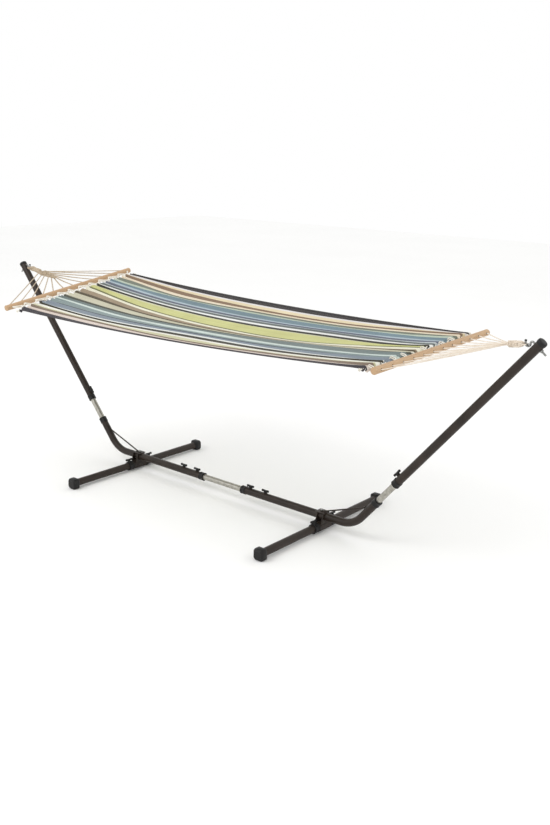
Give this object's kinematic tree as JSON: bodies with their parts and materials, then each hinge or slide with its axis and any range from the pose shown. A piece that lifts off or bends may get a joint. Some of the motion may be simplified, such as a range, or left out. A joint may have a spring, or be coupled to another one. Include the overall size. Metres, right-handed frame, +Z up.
{
  "type": "hammock on stand",
  "caption": "Spreader-bar hammock with a striped cotton bed on fanned cords, hung from J-hooks on a telescopic tubular steel stand with cross feet and clamping knobs.",
  "frame": {"origin": "on the floor, midway between the two feet and under the base beams", "axes": "+X along the stand to its right end, +Y to its far side, +Z up"},
  "size_m": [3.1088, 0.883, 0.9974],
  "materials": {
    "stand_paint": "dark brown-grey powder coat, satin",
    "black_plastic": "black moulded plastic, fine texture",
    "bright_tube": "bright galvanised tube, drawn along its length",
    "zinc_steel": "zinc-plated fasteners and hooks",
    "bar_wood": "light turned hardwood, thin varnish",
    "cotton_cord": "natural twisted cotton cord",
    "bed_cloth": "woven cotton with lengthwise stripes in blue-grey, charcoal, brown, cream and yellow-green"
  },
  "bodies": {
    "left_stand": {"base_beam_left": "stand_paint", "beam_collar_left": "black_plastic", "stub_collar_left": "black_plastic", "upright_inner_left": "bright_tube", "foot_bracket_left": "stand_paint", "foot_tube_left_near": "stand_paint", "foot_collar_left_near": "black_plastic", "foot_cap_left_near": "black_plastic", "foot_tube_left_far": "stand_paint", "foot_collar_left_far": "black_plastic", "foot_cap_left_far": "black_plastic", "brace_rod_left": "stand_paint", "saddle_bolt_left": "zinc_steel"},
    "right_stand": {"base_beam_right": "stand_paint", "beam_collar_right": "black_plastic", "stub_collar_right": "black_plastic", "upright_inner_right": "bright_tube", "foot_bracket_right": "stand_paint", "foot_tube_right_near": "stand_paint", "foot_collar_right_near": "black_plastic", "foot_cap_right_near": "black_plastic", "foot_tube_right_far": "stand_paint", "foot_collar_right_far": "black_plastic", "foot_cap_right_far": "black_plastic", "brace_rod_right": "stand_paint", "saddle_bolt_right": "zinc_steel"},
    "centre_tube": {"centre_tube": "bright_tube"},
    "left_upper": {"upper_tube_left": "stand_paint", "upper_collar_left": "black_plastic", "top_cap_left": "black_plastic", "hook_left": "zinc_steel", "hook_nut_left": "zinc_steel"},
    "right_upper": {"upper_tube_right": "stand_paint", "upper_collar_right": "black_plastic", "top_cap_right": "black_plastic", "hook_right": "zinc_steel", "hook_nut_right": "zinc_steel"},
    "left_clew": {"hang_ring_left": "zinc_steel", "neck_wrap_left": "cotton_cord", "clew_cords_left": "cotton_cord"},
    "bed": {"hammock_bed": "bed_cloth", "spreader_bar_left": "bar_wood", "spreader_bar_right": "bar_wood", "hem_cord_left": "cotton_cord", "hem_cord_right": "cotton_cord"},
    "right_clew": {"hang_ring_right": "zinc_steel", "neck_wrap_right": "cotton_cord", "clew_cords_right": "cotton_cord"},
    "left_beam_knob_inner": {"beam_knob_left_inner": "black_plastic"},
    "left_beam_knob_outer": {"beam_knob_left_outer": "black_plastic"},
    "left_upper_knob": {"upper_knob_left": "black_plastic"},
    "left_foot_knob_near": {"foot_knob_left_near": "black_plastic"},
    "left_foot_knob_far": {"foot_knob_left_far": "black_plastic"},
    "right_beam_knob_inner": {"beam_knob_right_inner": "black_plastic"},
    "right_beam_knob_outer": {"beam_knob_right_outer": "black_plastic"},
    "right_upper_knob": {"upper_knob_right": "black_plastic"},
    "right_foot_knob_near": {"foot_knob_right_near": "black_plastic"},
    "right_foot_knob_far": {"foot_knob_right_far": "black_plastic"}
  },
  "joints": [
    {"name": "length_adjust", "type": "slide", "parent": "left_stand", "child": "right_stand", "axis": [1, 0, 0], "range_m": [-0.1, 0.1]},
    {"name": "centre_tube_slide", "type": "slide", "parent": "left_stand", "child": "centre_tube", "axis": [1, 0, 0], "range_m": [-0.05, 0.05]},
    {"name": "height_adjust", "type": "slide", "parent": "left_stand", "child": "left_upper", "axis": [-0.6428, 0, 0.766], "range_m": [-0.06, 0.1]},
    {"name": "right_height_adjust", "type": "slide", "parent": "right_stand", "child": "right_upper", "axis": [0.6428, 0, 0.766], "range_m": [-0.06, 0.1]},
    {"name": "hammock_swing", "type": "hinge", "parent": "left_upper", "child": "left_clew", "pos_m": [-1.48115, 0, 0.96056], "axis": [1, 0, 0], "range_deg": [-40, 40]},
    {"name": "left_cord_give", "type": "slide", "parent": "left_clew", "child": "bed", "axis": [1, 0, 0], "range_m": [-0.0772, 0.1287], "deforming": ["clew_cords_left"]},
    {"name": "right_cord_give", "type": "slide", "parent": "bed", "child": "right_clew", "axis": [1, 0, 0], "range_m": [-0.1, 0.1], "deforming": ["clew_cords_right"]},
    {"name": "left_beam_knob_inner_turn", "type": "hinge", "parent": "left_stand", "child": "left_beam_knob_inner", "pos_m": [-0.176, 0, 0.0838], "axis": [0, 0, 1], "range_deg": [0, 720]},
    {"name": "left_beam_knob_outer_turn", "type": "hinge", "parent": "left_stand", "child": "left_beam_knob_outer", "pos_m": [-0.268, 0, 0.0838], "axis": [0, 0, 1], "range_deg": [0, 720]},
    {"name": "left_upper_knob_turn", "type": "hinge", "parent": "left_upper", "child": "left_upper_knob", "pos_m": [-0.98114, 0, 0.34873], "axis": [0.766, 0, 0.6428], "range_deg": [0, 720]},
    {"name": "left_foot_knob_near_turn", "type": "hinge", "parent": "left_stand", "child": "left_foot_knob_near", "pos_m": [-0.605, -0.068, 0.048], "axis": [0, 0, 1], "range_deg": [0, 720]},
    {"name": "left_foot_knob_far_turn", "type": "hinge", "parent": "left_stand", "child": "left_foot_knob_far", "pos_m": [-0.605, 0.068, 0.048], "axis": [0, 0, 1], "range_deg": [0, 720]},
    {"name": "right_beam_knob_inner_turn", "type": "hinge", "parent": "right_stand", "child": "right_beam_knob_inner", "pos_m": [0.176, 0, 0.0838], "axis": [0, 0, 1], "range_deg": [0, 720]},
    {"name": "right_beam_knob_outer_turn", "type": "hinge", "parent": "right_stand", "child": "right_beam_knob_outer", "pos_m": [0.268, 0, 0.0838], "axis": [0, 0, 1], "range_deg": [0, 720]},
    {"name": "right_upper_knob_turn", "type": "hinge", "parent": "right_upper", "child": "right_upper_knob", "pos_m": [0.98114, 0, 0.34873], "axis": [-0.766, 0, 0.6428], "range_deg": [0, 720]},
    {"name": "right_foot_knob_near_turn", "type": "hinge", "parent": "right_stand", "child": "right_foot_knob_near", "pos_m": [0.605, -0.068, 0.048], "axis": [0, 0, 1], "range_deg": [0, 720]},
    {"name": "right_foot_knob_far_turn", "type": "hinge", "parent": "right_stand", "child": "right_foot_knob_far", "pos_m": [0.605, 0.068, 0.048], "axis": [0, 0, 1], "range_deg": [0, 720]}
  ],
  "couplings": [
    {"joint": "centre_tube_slide", "follows": "length_adjust", "ratio": 0.5},
    {"joint": "right_height_adjust", "follows": "height_adjust", "ratio": 1},
    {"joint": "left_cord_give", "follows": "height_adjust", "ratio": 1.2856},
    {"joint": "right_cord_give", "follows": "length_adjust", "ratio": 1}
  ]
}
